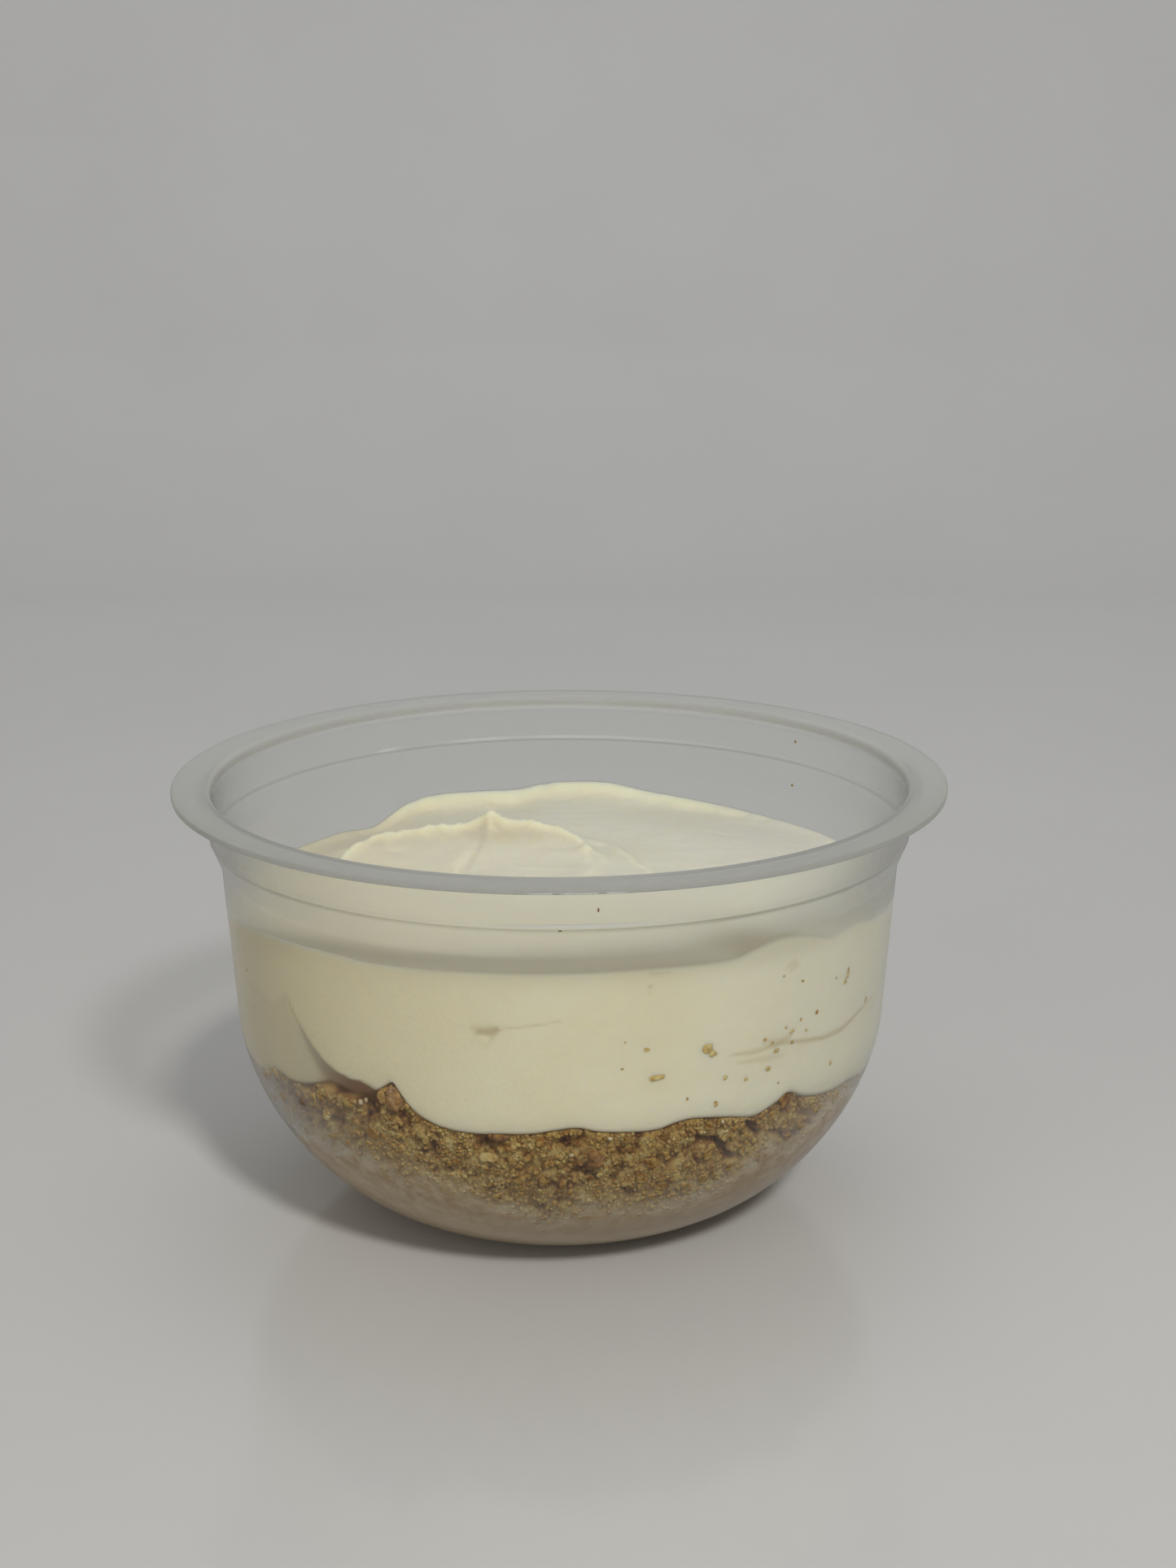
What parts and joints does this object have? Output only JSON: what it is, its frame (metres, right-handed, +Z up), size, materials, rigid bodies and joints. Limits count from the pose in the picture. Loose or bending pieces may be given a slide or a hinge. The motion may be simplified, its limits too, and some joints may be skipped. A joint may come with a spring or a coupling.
{
  "type": "cheesecake pot",
  "caption": "Clear round dessert pot with a flat rim flange, holding a bed of biscuit crumb under a thick layer of cheesecake cream with a spooned top.",
  "frame": {"origin": "middle of the pot's flat base, on the surface it stands on", "axes": "+Z up along the pot's axis of revolution, -Y towards the side that the picture shows as the front"},
  "size_m": [0.095, 0.095, 0.054],
  "materials": {
    "clear_plastic": "clear, slightly milky polypropylene with a soft gloss and fine handling marks",
    "biscuit_crumb": "dry, grainy golden brown biscuit crumb with darker baked specks",
    "cheesecake_cream": "smooth ivory cream cheese filling, softly translucent, satin"
  },
  "bodies": {
    "root": {"pot": "clear_plastic", "biscuit_base": "biscuit_crumb", "cream": "cheesecake_cream"}
  },
  "joints": []
}
